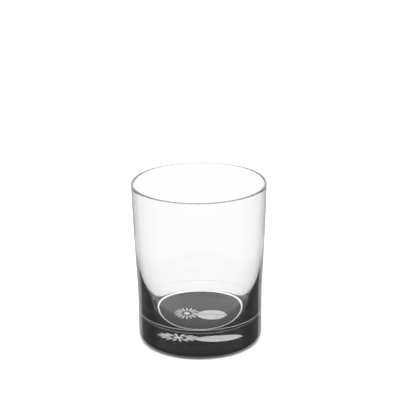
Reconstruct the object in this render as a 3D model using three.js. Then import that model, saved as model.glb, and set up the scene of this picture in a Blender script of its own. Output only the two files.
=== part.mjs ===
// A heavy-bottomed whisky tumbler of clear crystal, fused at the foot to a shallow dish of dark smoke glass.
// Millimetres, +Z up. The origin is the middle of the plane that the foot rests on.
import * as THREE from 'three';

// ---- driving dimensions -------------------------------------------------------------------------------
const HEIGHT = 100;             // resting plane to the top of the rim
const FOOT_RADIUS = 38.1;       // outside, from the heel up to the waist
const HEEL_RADIUS = 4.8;        // round edge between the side and the resting face
const WAIST_HEIGHT = 32.8;      // where the side starts to open out
const WAIST_BLEND = 6;          // how softly it starts
const OPENING_SLOPE = 0.0626;   // how fast the side opens just above the waist
const OPENING_EASE = 0.00031;   // how much of that slope is lost with each millimetre of height
const RIM_THICKNESS = 1.5;      // fire-polished to a full round
const WALL_THICKNESS = 2.0;     // at the shoulder, from where the wall thins evenly to the rim
const FLOOR_HEIGHT = 14.6;      // inside floor above the resting plane
const FLOOR_RADIUS = 27.8;      // flat part of the inside floor
const SHOULDER_HEIGHT = 68;     // where the wall starts thickening towards the floor
const CORNER_SWEEP = 2.8;       // how steeply the thick corner leaves the wall
const CORNER_ROUND = 1.6;       // how round it meets the floor: 1 is an edge and 2 a full round
const SMOKE_SEAM_HEIGHT = 9.5;  // how high the smoke glass comes up the outside
const SMOKE_TOP_HEIGHT = 4.2;   // top of the smoke glass in the middle
const SMOKE_FLAT_RADIUS = 26;   // flat part of that top
const HOLLOW_RADIUS = 24;       // ground hollow in the underside
const HOLLOW_DEPTH = 1.0;
const SEAM_GAP = 0.3;           // stands for the fused seam, which keeps the two solids apart

const TURN_STEPS = 72;          // facets around the axis

// ---- profile helpers ----------------------------------------------------------------------------------
const at = (radius, height) => new THREE.Vector2(radius, height);

/** Outside radius of the side: a cylinder that opens out smoothly above the waist. */
function outsideRadius(height) {
  const above = height - WAIST_HEIGHT;
  const opened = (above + Math.hypot(above, WAIST_BLEND)) / 2;
  return FOOT_RADIUS + OPENING_SLOPE * opened - OPENING_EASE * opened * opened;
}

/** Thickness of the wall above the shoulder. */
function wallThickness(height) {
  const share = Math.max(0, (height - SHOULDER_HEIGHT) / (HEIGHT - SHOULDER_HEIGHT));
  return WALL_THICKNESS + (RIM_THICKNESS - WALL_THICKNESS) * share;
}

/** Inside radius: the thick corner sweeps from the floor's edge out to the wall at the shoulder. */
function insideRadius(height) {
  const wallRadius = outsideRadius(height) - wallThickness(height);
  const rise = Math.max(0, SHOULDER_HEIGHT - height) / (SHOULDER_HEIGHT - FLOOR_HEIGHT);
  const out = (1 - rise ** CORNER_SWEEP) ** (1 / CORNER_ROUND);
  return FLOOR_RADIUS + (wallRadius - FLOOR_RADIUS) * out;
}

/** Points down the thick corner, close together near the floor, where it turns fastest. */
function corner(steps) {
  const points = [];
  for (let i = 1; i <= steps; i += 1) {
    const rise = Math.sin((i / steps) * (Math.PI / 2)) ** (2 / CORNER_SWEEP);
    const height = SHOULDER_HEIGHT + (FLOOR_HEIGHT - SHOULDER_HEIGHT) * rise;
    points.push(at(insideRadius(height), height));
  }
  return points;
}

/** Points on a circular arc in the profile plane, angles in degrees from the outward direction. */
function arc(centre, radius, from, to, steps) {
  const points = [];
  for (let i = 0; i <= steps; i += 1) {
    const angle = THREE.MathUtils.degToRad(from + ((to - from) * i) / steps);
    points.push(at(centre.x + radius * Math.cos(angle), centre.y + radius * Math.sin(angle)));
  }
  return points;
}

/** Points on a wall whose radius is a function of height. */
function wall(radiusAt, from, to, steps) {
  const points = [];
  for (let i = 0; i <= steps; i += 1) {
    const height = from + ((to - from) * i) / steps;
    points.push(at(radiusAt(height), height));
  }
  return points;
}

/** The curved top of the smoke dish, from the outside seam down to its flat middle, raised by lift. */
function smokeTop(lift) {
  const seam = at(outsideRadius(SMOKE_SEAM_HEIGHT), SMOKE_SEAM_HEIGHT + lift);
  const toe = at((FOOT_RADIUS + SMOKE_FLAT_RADIUS) / 2, SMOKE_TOP_HEIGHT + lift);
  const middle = at(SMOKE_FLAT_RADIUS, SMOKE_TOP_HEIGHT + lift);
  return new THREE.QuadraticBezierCurve(seam, toe, middle).getPoints(5);
}

/** A closed solid of revolution about Z from a profile that starts and ends on the axis. */
function turned(profile) {
  const geometry = new THREE.LatheGeometry(profile, TURN_STEPS);
  geometry.rotateX(Math.PI / 2);
  return geometry;
}

// ---- sub-parts ----------------------------------------------------------------------------------------

/** The clear crystal: a thick floor that sits in the smoke dish, and the wall up to the rim. */
function clearBowl() {
  const rimRadius = RIM_THICKNESS / 2;
  const rimHeight = HEIGHT - rimRadius;
  const rimCentre = at(outsideRadius(rimHeight) - rimRadius, rimHeight);
  const bottom = smokeTop(SEAM_GAP).reverse();
  return turned([
    at(0, SMOKE_TOP_HEIGHT + SEAM_GAP),
    ...bottom,
    ...wall(outsideRadius, SMOKE_SEAM_HEIGHT + 5, rimHeight, 16),
    ...arc(rimCentre, rimRadius, 30, 180, 5),
    ...wall(insideRadius, rimHeight - 2, SHOULDER_HEIGHT, 6),
    ...corner(18),
    at(0, FLOOR_HEIGHT),
  ]);
}

/** The smoke glass: a shallow dish with a rounded heel, a flat foot and a ground hollow. */
function smokeBase() {
  const heelCentre = at(FOOT_RADIUS - HEEL_RADIUS, HEEL_RADIUS);
  return turned([
    at(0, HOLLOW_DEPTH),
    at(HOLLOW_RADIUS / 2, HOLLOW_DEPTH * 0.75),
    at(HOLLOW_RADIUS, 0),
    ...arc(heelCentre, HEEL_RADIUS, -90, 0, 6),
    ...smokeTop(0),
    at(0, SMOKE_TOP_HEIGHT),
  ]);
}

/** One named mesh with its own glass material. */
function subPart(name, geometry, colour, roughness) {
  const material = new THREE.MeshStandardMaterial({ color: colour, roughness, metalness: 0 });
  const mesh = new THREE.Mesh(geometry, material);
  mesh.name = name;
  return mesh;
}

const tumbler = new THREE.Group();
tumbler.add(
  subPart('clear_bowl', clearBowl(), '#eef1f2', 0.03),
  subPart('smoke_base', smokeBase(), '#2b2b2e', 0.05),
);

export default tumbler;
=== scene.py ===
# %% [markdown]
# # A whisky tumbler: clear crystal on a smoke-glass foot
# The tumbler is two masses of glass that were fused while they were hot: a clear crystal cup with a very
# thick floor, and under it a thin dish of smoke glass, so dark that it looks black. Between the two, on top
# of the dish, lies an ornament that a cutting wheel left frosted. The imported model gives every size, so it
# is loaded first and stays a fixed frame to build around.

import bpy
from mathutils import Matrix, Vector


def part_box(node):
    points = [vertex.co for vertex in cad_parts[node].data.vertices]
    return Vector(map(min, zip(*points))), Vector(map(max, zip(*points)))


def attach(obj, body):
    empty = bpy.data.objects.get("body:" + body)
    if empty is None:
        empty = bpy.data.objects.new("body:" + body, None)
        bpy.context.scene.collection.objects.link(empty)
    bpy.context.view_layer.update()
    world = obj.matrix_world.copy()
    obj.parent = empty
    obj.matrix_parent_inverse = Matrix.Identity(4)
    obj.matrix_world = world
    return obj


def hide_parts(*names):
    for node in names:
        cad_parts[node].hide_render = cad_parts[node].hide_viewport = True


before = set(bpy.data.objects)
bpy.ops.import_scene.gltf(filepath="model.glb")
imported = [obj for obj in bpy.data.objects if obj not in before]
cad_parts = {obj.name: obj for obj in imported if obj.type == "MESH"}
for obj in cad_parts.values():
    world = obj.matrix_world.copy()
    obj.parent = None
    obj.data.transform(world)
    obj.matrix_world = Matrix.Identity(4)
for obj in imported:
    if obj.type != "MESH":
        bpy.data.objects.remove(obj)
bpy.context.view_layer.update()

# %% Blender's own modules
from math import cos, hypot, pi, radians, sin

import bpy
from mathutils import Matrix, Vector

# %% [markdown]
# ## Sizes
# Blender works in metres and a glass maker in millimetres, so lengths below are millimetres until they
# reach Blender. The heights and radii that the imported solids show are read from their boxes. What a box
# can't show, such as how the wall thickens inside, is named here.

# %% Sizes read from the frame
MM = 0.001
BOWL_LOW, BOWL_HIGH = (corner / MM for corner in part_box("clear_bowl"))
FOOT_LOW, FOOT_HIGH = (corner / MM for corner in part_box("smoke_base"))
HEIGHT = BOWL_HIGH.z
SEAM_HEIGHT = FOOT_HIGH.z        # how high the smoke glass comes up the outside
SEAM_GAP = 0.3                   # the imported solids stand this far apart
SMOKE_TOP = BOWL_LOW.z - SEAM_GAP
print(f"height {HEIGHT:.2f}, rim radius {BOWL_HIGH.x:.2f}, foot radius {FOOT_HIGH.x:.2f} mm")
print(f"the foot rests at {FOOT_LOW.z:.2f} mm")
print(f"seam {SEAM_HEIGHT:.2f} mm up the outside, {SMOKE_TOP:.2f} mm up in the middle")

# %% The outside of the glass
FOOT_RADIUS = 38.1       # from the heel up to the waist
HEEL_RADIUS = 4.8        # round edge between the side and the resting face
WAIST_HEIGHT = 32.8      # where the side starts to open out
WAIST_BLEND = 6          # how softly it starts
OPENING_SLOPE = 0.0626   # how fast it opens just above the waist
OPENING_EASE = 0.00031   # how much of that slope each millimetre of height takes away


def outside_radius(height):
    """A cylinder that opens out smoothly above the waist."""
    above = height - WAIST_HEIGHT
    opened = (above + hypot(above, WAIST_BLEND)) / 2
    return FOOT_RADIUS + OPENING_SLOPE * opened - OPENING_EASE * opened * opened


print(f"rim radius by the formula {outside_radius(HEIGHT):.2f} mm")

# %% The inside of the cup
RIM_THICKNESS = 1.5      # fire-polished to a full round
WALL_THICKNESS = 2.0     # at the shoulder, from where the wall thins evenly to the rim
FLOOR_HEIGHT = 14.6      # inside floor above the table
FLOOR_RADIUS = 27.8      # flat part of the inside floor
SHOULDER_HEIGHT = 68     # where the wall starts thickening towards the floor
CORNER_SWEEP = 2.8       # how steeply the thick corner leaves the wall
CORNER_ROUND = 1.6       # how round it meets the floor: 1 is an edge and 2 a full round
HIGHLIGHT_RING_RISE = 0.7          # a painted highlight ring round the floor, where the corner starts to rise


def wall_thickness(height):
    """The wall above the shoulder, which thins a little towards the rim."""
    share = max(0, (height - SHOULDER_HEIGHT) / (HEIGHT - SHOULDER_HEIGHT))
    return WALL_THICKNESS + (RIM_THICKNESS - WALL_THICKNESS) * share


def inside_radius(height):
    """The thick corner sweeps from the floor's edge out to the wall at the shoulder."""
    wall = outside_radius(height) - wall_thickness(height)
    rise = max(0, SHOULDER_HEIGHT - height) / (SHOULDER_HEIGHT - FLOOR_HEIGHT)
    out = (1 - rise**CORNER_SWEEP) ** (1 / CORNER_ROUND)
    return FLOOR_RADIUS + (wall - FLOOR_RADIUS) * out


for height in (17, 20, 30, 40, 50):
    print(f"inside radius {inside_radius(height):.2f} mm at {height} mm")

# %% [markdown]
# ## Turning a solid
# Everything round is made like a lathe does it. A plane is merged into one vertex, which is the pencil's
# point, and extruding that vertex draws half of the section. Spinning the drawing about Z gives the solid.
# Where the last copy meets the first, and on the axis, vertices lie on top of each other, so doubles are
# merged, and the normals are then recalculated because a spin can leave them pointing inwards.

# %% A pencil and a lathe
SAME_POINT = 0.002 * MM    # vertices nearer than this are merged
TURN_STEPS = 192           # facets round the axis, enough for glass to bend light smoothly
EDGE_ANGLE = radians(30)   # corners sharper than this stay sharp when shaded


def deselect_everything():
    """Leaves edit mode and selects nothing, because operators act on all that is selected."""
    if bpy.context.object and bpy.context.object.mode == "EDIT":
        bpy.ops.object.mode_set(mode="OBJECT")
    bpy.ops.object.select_all(action="DESELECT")


def draw_section(name, points):
    """Draws half a section in the XZ plane from (radius, height) points and stays in edit mode."""
    deselect_everything()
    bpy.ops.mesh.primitive_plane_add(size=MM)
    piece = bpy.context.object
    piece.name = piece.data.name = name
    bpy.ops.object.mode_set(mode="EDIT")
    bpy.ops.mesh.merge(type="CENTER")
    pencil = Vector((points[0][0], 0, points[0][1]))
    bpy.ops.transform.translate(value=pencil * MM)
    for radius, height in points[1:]:
        target = Vector((radius, 0, height))
        bpy.ops.mesh.extrude_region_move(TRANSFORM_OT_translate={"value": (target - pencil) * MM})
        pencil = target
    return piece


def turn(name, points):
    """Turns a section that starts and ends on the axis into a closed solid."""
    piece = draw_section(name, points)
    bpy.ops.mesh.select_all(action="SELECT")
    bpy.ops.mesh.spin(steps=TURN_STEPS, angle=2 * pi, center=(0, 0, 0), axis=(0, 0, 1))
    bpy.ops.mesh.select_all(action="SELECT")
    bpy.ops.mesh.remove_doubles(threshold=SAME_POINT)
    bpy.ops.mesh.normals_make_consistent(inside=False)
    bpy.ops.object.mode_set(mode="OBJECT")
    bpy.ops.object.shade_smooth_by_angle(angle=EDGE_ANGLE)
    print(f"{name}: {len(piece.data.polygons)} faces")
    return piece


# %% Lines that a section is made of
def side(radius_at, start, end, steps):
    """Points up or down a side whose radius is a function of height."""
    heights = [start + (end - start) * step / steps for step in range(steps + 1)]
    return [(radius_at(height), height) for height in heights]


def arc(centre, radius, start, end, steps):
    """Points on a round, with angles in degrees from the outward direction."""
    turns = [radians(start + (end - start) * step / steps) for step in range(steps + 1)]
    return [(centre[0] + radius * cos(turn), centre[1] + radius * sin(turn)) for turn in turns]


# %% [markdown]
# ## The face where the two glasses meet
# The smoke glass is thin in the middle and climbs at the edge, like a saucer. Both pieces use this curve.
# The crystal's copy dips a hair's breadth into the dish, except at the outer edge, so that light in the
# crystal meets the dish first. With the two faces at one height, Blender couldn't tell which is in front.

# %% The fused face
SMOKE_FLAT_RADIUS = 26   # flat part of the dish's top
FUSE_DIP = 0.15
FUSE_STEPS = 14


def fused_face(dip):
    """From the outside seam in to the flat middle, sinking by dip on the way: a quadratic curve."""
    seam = Vector((outside_radius(SEAM_HEIGHT), SEAM_HEIGHT))
    toe = Vector(((FOOT_RADIUS + SMOKE_FLAT_RADIUS) / 2, SMOKE_TOP - dip))
    middle = Vector((SMOKE_FLAT_RADIUS, SMOKE_TOP - dip))
    shares = [step / FUSE_STEPS for step in range(FUSE_STEPS + 1)]
    curve = [seam * (1 - s) ** 2 + toe * 2 * s * (1 - s) + middle * s * s for s in shares]
    return [tuple(point) for point in curve]


# %% [markdown]
# ## The crystal
# The section runs from the middle of the fused face out to the seam, up the outside, round the rim, down
# the inside and over the floor back to the axis. The rim is a full round because fire melted it smooth.
# A very fine frosted white band runs round the outside, a little above the floor's height, so the section
# has a point on each side of it.

# %% Turn the crystal
LINE_HEIGHT = 19.6       # fine line round the outside
LINE_WIDTH = 0.12
CORNER_STEPS = 48


def corner_heights():
    """Heights down the thick corner, close together near the floor, where it turns fastest."""
    turns = [step / CORNER_STEPS * pi / 2 for step in range(1, CORNER_STEPS + 1)]
    shares = [1 - sin(turn) ** (2 / CORNER_SWEEP) for turn in turns]
    return [FLOOR_HEIGHT + (SHOULDER_HEIGHT - FLOOR_HEIGHT) * max(0, share) for share in shares]


rim_radius = RIM_THICKNESS / 2
rim_height = HEIGHT - rim_radius
rim_centre = (outside_radius(rim_height) - rim_radius, rim_height)
crystal = turn("crystal_cup", [
    (0, SMOKE_TOP - FUSE_DIP),
    *reversed(fused_face(FUSE_DIP)),
    *side(outside_radius, SEAM_HEIGHT + 2, LINE_HEIGHT, 5),
    *side(outside_radius, LINE_HEIGHT + LINE_WIDTH, rim_height, 56),
    *arc(rim_centre, rim_radius, 12, 168, 10),
    *side(inside_radius, rim_height - 1, SHOULDER_HEIGHT, 30),
    *[(inside_radius(height), height) for height in corner_heights()],
    (FLOOR_RADIUS / 2, FLOOR_HEIGHT),
    (0, FLOOR_HEIGHT),
])
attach(crystal, "root")
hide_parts("clear_bowl")

# %% [markdown]
# ## The smoke-glass dish
# The dish carries the whole glass. Its heel is rounded so that it doesn't chip, its foot is a flat ring
# ground level, and inside that ring the underside is ground a millimetre hollow so that it can't rock.

# %% Turn the dish
HOLLOW_RADIUS = 24
HOLLOW_DEPTH = 1.0
heel_centre = (FOOT_RADIUS - HEEL_RADIUS, HEEL_RADIUS)
dish = turn("smoke_dish", [
    (0, HOLLOW_DEPTH),
    (HOLLOW_RADIUS / 2, HOLLOW_DEPTH * 0.75),
    (HOLLOW_RADIUS, 0),
    *arc(heel_centre, HEEL_RADIUS, -90, 0, 16),
    *fused_face(0),
    (0, SMOKE_TOP),
])
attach(dish, "root")
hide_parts("smoke_base")

# %% [markdown]
# ## The ornament
# A glass cutter presses the glass on a small turning wheel, and every touch leaves an olive: a pointed oval
# hollow. A flower is a ring of olives round a dot, and a leaf is one wide olive that a straight vein parts.
# The cuts were made in the underside of the crystal, so seen from inside the glass they stand up like low
# mounds on the dish. One olive is modelled from a sphere and copied for every petal.

# %% One olive
SINK = 0.05              # how far a mound reaches into the dish
POINTED = 0.86           # the tips are drawn out from an oval that is this share of the length
CLOSE = 0.0002 * MM      # how near to a cutting plane a vertex counts as on it


def olive(name, length, width, depth):
    """A low pointed mound along X, standing on the dish with its middle on the axis."""
    deselect_everything()
    bpy.ops.mesh.primitive_uv_sphere_add(segments=24, ring_count=14, radius=MM, rotation=(0, pi / 2, 0))
    bpy.ops.object.transform_apply(rotation=True)
    cut = bpy.context.object
    cut.name = cut.data.name = name
    tips = [abs(vertex.co.x) > 0.999 * MM for vertex in cut.data.vertices]
    bpy.ops.object.mode_set(mode="EDIT")
    size = (length / 2 * POINTED, width / 2, depth)
    bpy.ops.transform.resize(value=size, center_override=(0, 0, 0))
    bpy.ops.mesh.select_all(action="DESELECT")
    bpy.ops.object.mode_set(mode="OBJECT")
    for vertex, tip in zip(cut.data.vertices, tips):
        vertex.select = tip
    bpy.ops.object.mode_set(mode="EDIT")
    bpy.ops.transform.resize(value=(1 / POINTED, 1, 1), center_override=(0, 0, 0))
    bpy.ops.mesh.select_all(action="SELECT")
    bpy.ops.transform.translate(value=(0, 0, SMOKE_TOP * MM))
    bpy.ops.mesh.bisect(plane_co=(0, 0, (SMOKE_TOP - SINK) * MM), plane_no=(0, 0, 1),
                        clear_inner=True, use_fill=True, threshold=CLOSE)
    bpy.ops.object.mode_set(mode="OBJECT")
    bpy.ops.object.shade_smooth_by_angle(angle=EDGE_ANGLE)
    return cut


def only(piece):
    """Selects one piece and makes it the active one."""
    deselect_everything()
    piece.select_set(True)
    bpy.context.view_layer.objects.active = piece


def lay(piece, angle, x, y):
    """Turns a cut about the axis, moves it to its place and leaves that place in its mesh."""
    only(piece)
    piece.rotation_euler.z = angle
    piece.location = Vector((x, y, 0)) * MM
    bpy.ops.object.transform_apply(location=True, rotation=True)
    return piece


def copy_of(piece):
    """A copy with its own mesh."""
    only(piece)
    bpy.ops.object.duplicate()
    return bpy.context.object


def join(name, cuts):
    """Joins cuts into one piece."""
    deselect_everything()
    for cut in cuts:
        cut.select_set(True)
    bpy.context.view_layer.objects.active = cuts[0]
    bpy.ops.object.join()
    piece = bpy.context.object
    piece.name = piece.data.name = name
    print(f"{name}: {len(cuts)} cuts, {len(piece.data.polygons)} faces")
    return piece


# %% Flower
FLOWER_AT = (-8.8, -1.0)
PETALS = 16
PETAL_LENGTH = 6.2
PETAL_WIDTH = 1.3
PETAL_DEPTH = 0.55
FLOWER_EYE = 2.2         # radius of the dot
EYE_GAP = 0.7            # clear glass between the dot and the petals
petal = olive("petal", PETAL_LENGTH, PETAL_WIDTH, PETAL_DEPTH)
reach = FLOWER_EYE + EYE_GAP + PETAL_LENGTH / 2
cuts = [olive("eye", 2 * FLOWER_EYE, 2 * FLOWER_EYE, PETAL_DEPTH)]
lay(cuts[0], 0, *FLOWER_AT)
for number in range(PETALS):
    angle = 2 * pi * number / PETALS
    place = (FLOWER_AT[0] + reach * cos(angle), FLOWER_AT[1] + reach * sin(angle))
    cuts.append(lay(copy_of(petal), angle, *place))
bpy.data.objects.remove(petal)
flower = join("cut_flower", cuts)

# %% Leaf
LEAF_AT = (7.6, -3.4)
LEAF_LENGTH = 23
LEAF_WIDTH = 14
LEAF_DEPTH = 0.7
LEAF_TURN = radians(-6)
VEIN_WIDTH = 0.5
halves = [olive("leaf_half", LEAF_LENGTH, LEAF_WIDTH, LEAF_DEPTH)]
halves.append(copy_of(halves[0]))
for half, way in zip(halves, (1, -1)):
    only(half)
    bpy.ops.object.mode_set(mode="EDIT")
    bpy.ops.mesh.select_all(action="SELECT")
    bpy.ops.mesh.bisect(plane_co=(0, way * VEIN_WIDTH / 2 * MM, 0), plane_no=(0, way, 0),
                        clear_inner=True, use_fill=True, threshold=CLOSE)
    bpy.ops.object.mode_set(mode="OBJECT")
    lay(half, LEAF_TURN, *LEAF_AT)
leaf = join("cut_leaf", halves)

# %% The ornament rides on the glass
for piece in (flower, leaf):
    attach(piece, "root")

# %% [markdown]
# ## Small helpers for finishes
# One function turns the usual hex colours into the linear values that Blender's sockets hold, and one adds
# a node: its settings are set, and each input is either given a value or linked to another node's output.

# %% Colours and nodes
def linear(hex_colour):
    """An sRGB hex colour as linear RGBA."""
    shares = [int(hex_colour[start:start + 2], 16) / 255 for start in (1, 3, 5)]
    return (*[s / 12.92 if s <= 0.04045 else ((s + 0.055) / 1.055) ** 2.4 for s in shares], 1)


def grey(value):
    """A grey of that brightness, which may pass 1 for a light."""
    return (value, value, value, 1)


def add_node(tree, kind, settings={}, inputs={}):
    """Adds a node with its settings, and gives each input a value or a link."""
    node = tree.nodes.new(kind)
    for name, value in settings.items():
        setattr(node, name, value)
    for name, value in inputs.items():
        if isinstance(value, bpy.types.NodeSocket):
            tree.links.new(value, node.inputs[name])
        else:
            node.inputs[name].default_value = value
    return node


def new_material(name):
    """An empty material and its node tree."""
    material = bpy.data.materials.new(name)
    material.use_nodes = True
    material.node_tree.nodes.clear()
    return material, material.node_tree


def set_ramp(ramp, stops):
    """Gives a colour ramp its (position, colour) stops."""
    elements = ramp.color_ramp.elements
    while len(elements) < len(stops):
        elements.new(0.5)
    for element, (position, colour) in zip(elements, stops):
        element.position = position
        element.color = colour


# %% [markdown]
# ## Finish: fire-polished crystal
# Crystal is a clear glass with an index of about 1.52. Blown and fire-polished, it has no grain at all, so
# its whole look is in how it bends and mirrors what stands round it. Where the surface turns away from the
# eye, light runs a long way inside the thin wall, and that draws a soft grey band along each side. A colour
# ramp over Layer Weight's Facing paints that band as a grey tint, nearly all of it on the outside, because
# both skins together would draw it twice. It is painted shade: the glass itself absorbs nothing. The rim has
# a painted grey tint of its own, nearly the same at every angle, which keeps its thin grey line whole.

# %% Crystal
CRYSTAL_INDEX = 1.52

# Each pair is how far the surface turns away from the eye, and the painted shade there, given as the share
# of light it lets in.
OUTSIDE_EDGE_SHADE = [
    (0.05, 0.99), (0.4, 0.96), (0.55, 0.9), (0.63, 0.72), (0.7, 0.43), (0.8, 0.15), (0.88, 0.05)]
INSIDE_EDGE_SHADE = [(0.4, 1.0), (1.0, 0.96)]
RIM_PAINTED_SHADE = [(0.3, 0.68), (1.0, 0.6)]
RIM_CLEAR = 0.8          # the rest scatters as a matt grey skin, which softens the painted grey line


def fire_polished_crystal(name, painted_shades, clear=1.0):
    """Clear and smooth glass, with a painted grey shade by how far its surface turns away."""
    material, tree = new_material(name)
    edge_on = add_node(tree, "ShaderNodeLayerWeight", inputs={"Blend": 0.5})
    depth = add_node(tree, "ShaderNodeValToRGB", inputs={"Fac": edge_on.outputs["Facing"]})
    # painted shade: the ramp greys the glass where its surface turns away from the eye
    set_ramp(depth, [(facing, grey(light)) for facing, light in painted_shades])
    glass = add_node(tree, "ShaderNodeBsdfPrincipled", inputs={
        "Base Color": depth.outputs["Color"],
        "Roughness": 0.0,
        "IOR": CRYSTAL_INDEX,
        "Transmission Weight": clear,
    })
    add_node(tree, "ShaderNodeOutputMaterial", inputs={"Surface": glass.outputs["BSDF"]})
    return material


OUTSIDE, INSIDE, RIM, FROSTED_AND_HIGHLIGHT = range(4)
SKIN = 0.3               # a face nearer than this to the outside radius is an outside face
crystal.data.materials.append(fire_polished_crystal("fire_polished_crystal", OUTSIDE_EDGE_SHADE))
crystal.data.materials.append(fire_polished_crystal("fire_polished_inside", INSIDE_EDGE_SHADE))
# painted shade: the rim's grey tint draws its thin grey line
crystal.data.materials.append(fire_polished_crystal("fire_polished_rim", RIM_PAINTED_SHADE, RIM_CLEAR))
for face in crystal.data.polygons:
    middle = face.center / MM
    outside = hypot(middle.x, middle.y) > outside_radius(middle.z) - SKIN
    face.material_index = RIM if middle.z > rim_height else OUTSIDE if outside else INSIDE
print("outside faces:", sum(face.material_index == OUTSIDE for face in crystal.data.polygons))

# %% [markdown]
# ## Finish: frosted cuts and a painted highlight ring
# A cutting wheel leaves glass finely ground. The ground skin scatters light every way, so a cut reads as
# soft white against the polished glass round it. Three things have this finish: the ornament, the fine line
# round the outside, and a ring round the floor where the thick corner starts to rise. That ring is a painted
# highlight: the real glass shows a bright refraction there, not a cut. The wheel's grit is about 0.1 mm, and
# it is drawn at 0.4 mm so that it shows.

# %% Frosted glass
GRIT = 0.4 * MM


def wheel_frosted_glass_and_highlight():
    """Ground white skin with a fine grain."""
    material, tree = new_material("wheel_frosted_glass_and_highlight")
    place = add_node(tree, "ShaderNodeTexCoord").outputs["Object"]
    grit = add_node(tree, "ShaderNodeTexNoise", inputs={"Vector": place, "Scale": 1 / GRIT})
    depth = add_node(tree, "ShaderNodeValToRGB", inputs={"Fac": grit.outputs["Fac"]})
    set_ramp(depth, [(0.3, linear("#cfd2d3")), (0.7, linear("#f6f8f8"))])
    ground = add_node(tree, "ShaderNodeBump", inputs={
        "Height": grit.outputs["Fac"], "Strength": 0.4, "Distance": 0.05 * MM})
    skin = add_node(tree, "ShaderNodeBsdfPrincipled", inputs={
        "Base Color": depth.outputs["Color"],
        "Roughness": 0.7,
        "IOR": CRYSTAL_INDEX,
        "Specular IOR Level": 0.1,
        "Normal": ground.outputs["Normal"],
    })
    add_node(tree, "ShaderNodeOutputMaterial", inputs={"Surface": skin.outputs["BSDF"]})
    return material


frosted_and_highlight = wheel_frosted_glass_and_highlight()
crystal.data.materials.append(frosted_and_highlight)
for face in crystal.data.polygons:
    middle = face.center / MM
    # painted highlight: the ring's faces get the frosted white where the real glass shows a bright
    # refraction
    highlight_ring = face.material_index == INSIDE and 0.001 < middle.z - FLOOR_HEIGHT < HIGHLIGHT_RING_RISE
    line = face.material_index == OUTSIDE and LINE_HEIGHT < middle.z < LINE_HEIGHT + LINE_WIDTH
    if highlight_ring or line:
        face.material_index = FROSTED_AND_HIGHLIGHT
print("frosted faces:", sum(face.material_index == FROSTED_AND_HIGHLIGHT for face in crystal.data.polygons))
for piece in (flower, leaf):
    piece.data.materials.clear()
    piece.data.materials.append(frosted_and_highlight)

# %% [markdown]
# ## Finish: smoke glass
# Manganese and iron oxides make glass so dark that 4 mm of it lets almost nothing through, so it is modelled
# as a black body with a polished skin. The eye sees only the room mirrored faintly in it. The foot's resting
# ring was ground flat and stays matt. On the fused face there is no air, so there is no mirror either.

# %% Smoke glass
CLOUD_WIDTH = 9 * MM     # soft streaks where the melt wasn't stirred evenly


def smoke_glass(name, mirror):
    """Near-black glass, faintly cloudy, polished down to the ground resting ring."""
    material, tree = new_material(name)
    place = add_node(tree, "ShaderNodeTexCoord").outputs["Object"]
    cloud = add_node(tree, "ShaderNodeTexNoise", inputs={"Vector": place, "Scale": 1 / CLOUD_WIDTH})
    depth = add_node(tree, "ShaderNodeValToRGB", inputs={"Fac": cloud.outputs["Fac"]})
    set_ramp(depth, [(0.3, linear("#09090a")), (0.7, linear("#0e0e10"))])
    height = add_node(tree, "ShaderNodeSeparateXYZ", inputs={"Vector": place}).outputs["Z"]
    ground = add_node(tree, "ShaderNodeMapRange", inputs={
        "Value": height, "From Min": 0.1 * MM, "From Max": 0.3 * MM, "To Min": 0.4, "To Max": 0.02})
    glass = add_node(tree, "ShaderNodeBsdfPrincipled", inputs={
        "Base Color": depth.outputs["Color"],
        "Roughness": ground.outputs["Result"],
        "IOR": CRYSTAL_INDEX,
        "Specular IOR Level": mirror,
    })
    add_node(tree, "ShaderNodeOutputMaterial", inputs={"Surface": glass.outputs["BSDF"]})
    return material


dish.data.materials.append(smoke_glass("polished_smoke_glass", 0.5))
dish.data.materials.append(smoke_glass("fused_smoke_glass", 0.0))
for face in dish.data.polygons:
    if face.normal.z > 0.2 and face.center.z > 2 * MM:
        face.material_index = 1
print("fused faces:", sum(face.material_index for face in dish.data.polygons))

# %% [markdown]
# ## The table and the studio
# Clear glass shows nothing but its surroundings, so the studio is half of the picture. It stands on a pale
# table in a wide white tent. Light that passes through the glass comes from an even white wall, brighter
# overhead. Light that the glass only mirrors comes from a room that is white behind, a little darker in
# front and hung with grey flags at the sides, which show as soft dark bands on the polished foot. The Light
# Path node tells the two apart: a ray counts as mirrored when it is glossy but wasn't transmitted.

# %% Table
TABLE_RADIUS = 3         # metres
TABLE_DROP = 0.02 * MM   # keeps the table and the resting ring from lying in one plane
deselect_everything()
bpy.ops.mesh.primitive_circle_add(
    vertices=96, radius=TABLE_RADIUS, fill_type="NGON", location=(0, 0, -TABLE_DROP))
table = bpy.context.object
table.name = "table_top"
bpy.ops.object.transform_apply(location=True)
matt_paper, tree = new_material("matt_white_paper")
paper = add_node(tree, "ShaderNodeBsdfPrincipled", inputs={
    "Base Color": linear("#f4f4f4"), "Roughness": 0.9, "Specular IOR Level": 0.0})
add_node(tree, "ShaderNodeOutputMaterial", inputs={"Surface": paper.outputs["BSDF"]})
table.data.materials.append(matt_paper)
table.visible_transmission = False
table.visible_glossy = False

# %% Light tent
TENT_BEHIND = 1.0        # brightness of the tent, where 1 shows as white
TENT_FLAGS = 0.35
TENT_FRONT = 0.82
TENT_TOP = 4.5
TENT_LOW = 0.55          # what the rounded heel mirrors of its own shadow, as a share of the rest
BACKDROP = 1.05          # what the camera sees straight on
ROOF = (0.7, 0.85)       # the sine of the height where the bright roof starts, and where it is full
SHADOW = (-0.6, -0.38)   # the same for the glass's own shadow, where it is full and where it ends
ROUND_ROOM = [(0, TENT_BEHIND), (40, TENT_BEHIND), (43, TENT_FLAGS), (80, TENT_FLAGS),
              (105, TENT_FRONT), (180, TENT_FRONT)]    # degrees from straight behind, brightness

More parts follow.
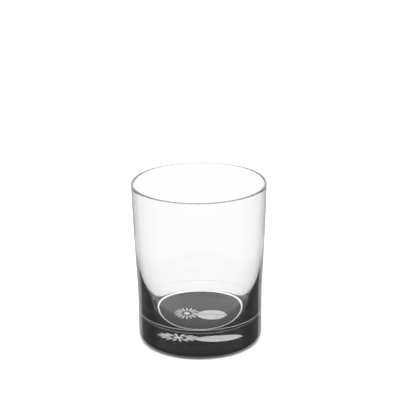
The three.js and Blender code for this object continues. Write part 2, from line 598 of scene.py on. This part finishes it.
world = bpy.data.worlds.new("light_tent")
bpy.context.scene.world = world
world.use_nodes = True
tree = world.node_tree
tree.nodes.clear()
looking = add_node(tree, "ShaderNodeTexCoord").outputs["Generated"]
axes = add_node(tree, "ShaderNodeSeparateXYZ", inputs={"Vector": looking})
azimuth = add_node(tree, "ShaderNodeMath", {"operation": "ARCTAN2"},
                   {0: axes.outputs["X"], 1: axes.outputs["Y"]})
either_side = add_node(tree, "ShaderNodeMath", {"operation": "ABSOLUTE"}, {0: azimuth.outputs["Value"]})
share = add_node(tree, "ShaderNodeMath", {"operation": "DIVIDE"}, {0: either_side.outputs["Value"], 1: pi})
round_room = add_node(tree, "ShaderNodeValToRGB", inputs={"Fac": share.outputs["Value"]})
set_ramp(round_room, [(degrees / 180, grey(light)) for degrees, light in ROUND_ROOM])
overhead = add_node(tree, "ShaderNodeMapRange", inputs={
    "Value": axes.outputs["Z"], "From Min": ROOF[0], "From Max": ROOF[1],
    "To Min": TENT_BEHIND, "To Max": TENT_TOP})
heel_shadow = add_node(tree, "ShaderNodeMapRange", inputs={
    "Value": axes.outputs["Z"], "From Min": SHADOW[0], "From Max": SHADOW[1],
    "To Min": TENT_LOW, "To Max": 1})
mirrored = add_node(tree, "ShaderNodeVectorMath", {"operation": "MULTIPLY"}, {
    0: round_room.outputs["Color"], 1: heel_shadow.outputs["Result"]})
ray = add_node(tree, "ShaderNodeLightPath")
bounced = add_node(tree, "ShaderNodeMath", {"operation": "SUBTRACT", "use_clamp": True}, {
    0: ray.outputs["Is Glossy Ray"], 1: ray.outputs["Is Transmission Ray"]})
tent = add_node(tree, "ShaderNodeMix", {"data_type": "RGBA"}, {0: bounced.outputs["Value"]})
tree.links.new(overhead.outputs["Result"], tent.inputs[6])
tree.links.new(mirrored.outputs["Vector"], tent.inputs[7])
backdrop = add_node(tree, "ShaderNodeMix", {"data_type": "RGBA"}, {0: ray.outputs["Is Camera Ray"]})
tree.links.new(tent.outputs[2], backdrop.inputs[6])
backdrop.inputs[7].default_value = grey(BACKDROP)
glow = add_node(tree, "ShaderNodeBackground", inputs={"Color": backdrop.outputs[2]})
add_node(tree, "ShaderNodeOutputWorld", inputs={"Surface": glow.outputs["Background"]})

# %% [markdown]
# ## The camera
# A long lens from well above the table, looking down by 19 degrees, so that the rim and the floor show as
# ellipses. It aims a little under the rim.

# %% Camera
DISTANCE = 8.627 * HEIGHT
LOOK_DOWN = radians(18.72)
TILT = radians(-0.57)
LENS = 128.8
aim = Vector((0.58, 0, 0.884 * HEIGHT))
spot = aim + DISTANCE * Vector((0, -cos(LOOK_DOWN), sin(LOOK_DOWN)))
pointed = Matrix.Rotation(pi / 2 - LOOK_DOWN, 3, "X") @ Matrix.Rotation(TILT, 3, "Z")
deselect_everything()
bpy.ops.object.camera_add(location=spot * MM, rotation=pointed.to_euler())
camera = bpy.context.object
camera.name = "studio_camera"
camera.data.sensor_width = 36
camera.data.lens = LENS
camera.data.clip_end = 50
bpy.context.scene.camera = camera

# %% Picture settings
# Light passes many faces of the glass before it leaves, so it is followed for long.
scene = bpy.context.scene
scene.view_settings.view_transform = "Standard"
scene.cycles.max_bounces = 24
scene.cycles.transmission_bounces = 24
scene.cycles.glossy_bounces = 16
scene.cycles.diffuse_bounces = 4
